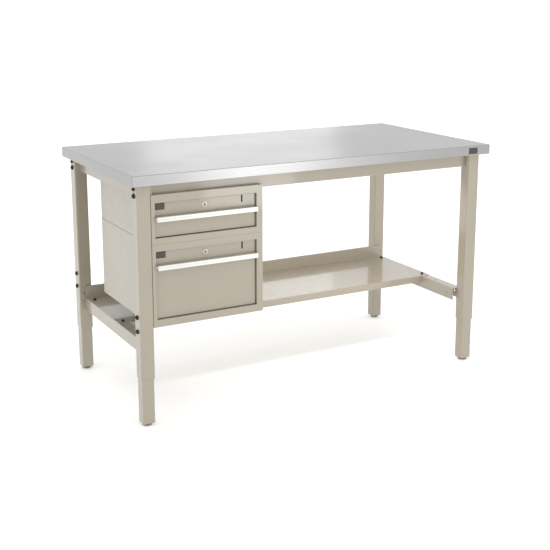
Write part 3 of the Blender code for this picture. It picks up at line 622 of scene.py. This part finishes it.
def build_lock(level):
    low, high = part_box(f"lock_body_{level}")
    x, z = (low.x + high.x) / 2, (low.z + high.z) / 2
    outer = (high.x - low.x) / 2
    front = low.y
    back = high.y
    face = front + COLLAR_RIM
    ring = [(LOCK_BORE, front + 0.0007), (0.0066, front + 0.0002), (0.0070, front), (outer - 0.0014, front),
            (outer - 0.0005, front + 0.0004), (outer, front + 0.0012), (outer, face),
            (LOCK_BARREL, face), (LOCK_BARREL, back), (LOCK_BORE, back), (LOCK_BORE, front + 0.0007)]
    body = shown(f"lock_body_{level}.collar", lathe(ring, 48, "Y", (x, 0.0, z)),
                 "lock_metal")
    claim(body, body_of(f"lock_body_{level}"), "lock_metal", f"lock_body_{level}")
    plug_low, plug_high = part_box(f"lock_plug_{level}")
    radius = (plug_high.x - plug_low.x) / 2
    start, end = plug_low.y, plug_high.y
    core = lathe([(0.0, start), (radius - 0.0006, start), (radius, start + 0.0006),
                  (radius, end - PLUG_STEP), (0.6 * radius, end - PLUG_STEP), (0.6 * radius, end),
                  (0.0, end)], 40, "Y", (x, 0.0, z))
    plug = shown(f"lock_plug_{level}.core", core, "lock_metal")
    plug.modifiers.clear()
    half_width, depth, half_height = KEY_SLOT
    slot = block((x - half_width, start - 0.001, z - half_height),
                 (x + half_width, start + depth, z + half_height))
    carve(plug, slot)
    plug.modifiers.new("settle", "WEIGHTED_NORMAL")
    claim(plug, body_of(f"lock_plug_{level}"), "lock_metal", f"lock_plug_{level}")


# ---------------------------------------------------------------- assembly

build_corner_seams(build_worktop())
build_badge()
build_bolts()
build_feet()
for corner_name in CORNERS:
    softened(f"upper_leg_{corner_name}", "tan_paint", FRAME_BEVEL)
    softened(f"lower_leg_{corner_name}", "tan_paint", FRAME_BEVEL)
for side_name in SIDES:
    softened(f"upper_end_rail_{side_name}", "tan_paint", FRAME_BEVEL)
    softened(f"lower_end_rail_{side_name}", "tan_paint", FRAME_BEVEL)
for plain in ("front_rail", "rear_rail", "hanger_channel", "lower_shelf"):
    softened(plain, "tan_paint", FRAME_BEVEL)
for level_name in LEVELS:
    softened(f"housing_{level_name}", "tan_paint", DRAWER_BEVEL)
    softened(f"drawer_front_{level_name}", "tan_paint", DRAWER_BEVEL)
    softened(f"drawer_box_{level_name}", "tan_paint", DRAWER_BEVEL)
    softened(f"lock_cam_{level_name}", "zinc", FITTING_BEVEL)
    for side_name in SIDES:
        softened(f"slide_outer_{level_name}_{side_name}", "zinc", FITTING_BEVEL)
        softened(f"slide_inner_{level_name}_{side_name}", "zinc", FITTING_BEVEL)
    build_handle(level_name)
    build_label(level_name)
    build_lock(level_name)


# ---------------------------------------------------------------- stage, light and camera

FLOOR_GLOW = 0.25
SKY_STRENGTH = 1.06
FOCAL_LENGTH = 68.94982   # mm on a 36 mm wide sensor
CAMERA_SHIFT = -0.10
CAMERA_PLACE = (-2.0061, -3.637, 1.5373)
CAMERA_YAW = 0.5017       # radians to the right of +Y
CAMERA_PITCH = 0.2195     # radians below level


def build_stage():
    floor_look = bpy.data.materials.new("studio_floor")
    floor_look.use_nodes = True
    shader = floor_look.node_tree.nodes["Principled BSDF"]
    shader.inputs["Base Color"].default_value = (0.93, 0.93, 0.925, 1.0)
    shader.inputs["Roughness"].default_value = 0.9
    shader.inputs["Specular IOR Level"].default_value = 0.1
    shader.inputs["Emission Color"].default_value = (1.0, 1.0, 1.0, 1.0)
    shader.inputs["Emission Strength"].default_value = FLOOR_GLOW
    bpy.ops.mesh.primitive_plane_add(size=60.0, location=(0.0, 0.0, -0.0005))
    floor = bpy.context.object
    floor.name = "studio_floor"
    floor.data.materials.append(floor_look)
    world = bpy.data.worlds.new("studio")
    world.use_nodes = True
    sky = world.node_tree.nodes["Background"]
    sky.inputs["Color"].default_value = (1.0, 1.0, 1.0, 1.0)
    sky.inputs["Strength"].default_value = SKY_STRENGTH
    bpy.context.scene.world = world
    bpy.context.scene.view_settings.view_transform = "Standard"


def soft_box(name, position, target, width, height, power):
    light = bpy.data.lights.new(name, "AREA")
    light.shape = "RECTANGLE"
    light.size = width
    light.size_y = height
    light.energy = power
    item = bpy.data.objects.new(name, light)
    item.location = position
    aim = Vector(target) - Vector(position)
    item.rotation_euler = aim.to_track_quat("-Z", "Y").to_euler()
    item.visible_camera = False
    bpy.context.scene.collection.objects.link(item)


def build_camera():
    camera = bpy.data.cameras.new("camera")
    camera.sensor_width = 36.0
    camera.lens = FOCAL_LENGTH
    camera.shift_y = CAMERA_SHIFT
    camera.clip_end = 200.0
    item = bpy.data.objects.new("camera", camera)
    item.location = CAMERA_PLACE
    item.rotation_euler = (math.pi / 2 - CAMERA_PITCH, 0.0, -CAMERA_YAW)
    bpy.context.scene.collection.objects.link(item)
    bpy.context.scene.camera = item


build_stage()
soft_box("front_box", (1.10, -3.05, 0.72), (0.0, 0.0, 0.7), 0.60, 1.2, 9.0)
soft_box("back_box", (1.95, 4.2, 1.5), (0.0, 0.2, 0.8), 1.6, 1.8, 5.2)
soft_box("left_box", (-3.4, -0.6, 2.0), (0.0, 0.0, 0.5), 2.0, 2.0, 3.0)
soft_box("fill_box", (-1.7, -4.4, 1.1), (0.2, 0.0, 0.4), 2.4, 1.6, 24.0)
soft_box("knee_box", (0.25, -0.29, 0.79), (0.25, 0.12, 0.30), 0.6, 0.08, 2.5)
build_camera()
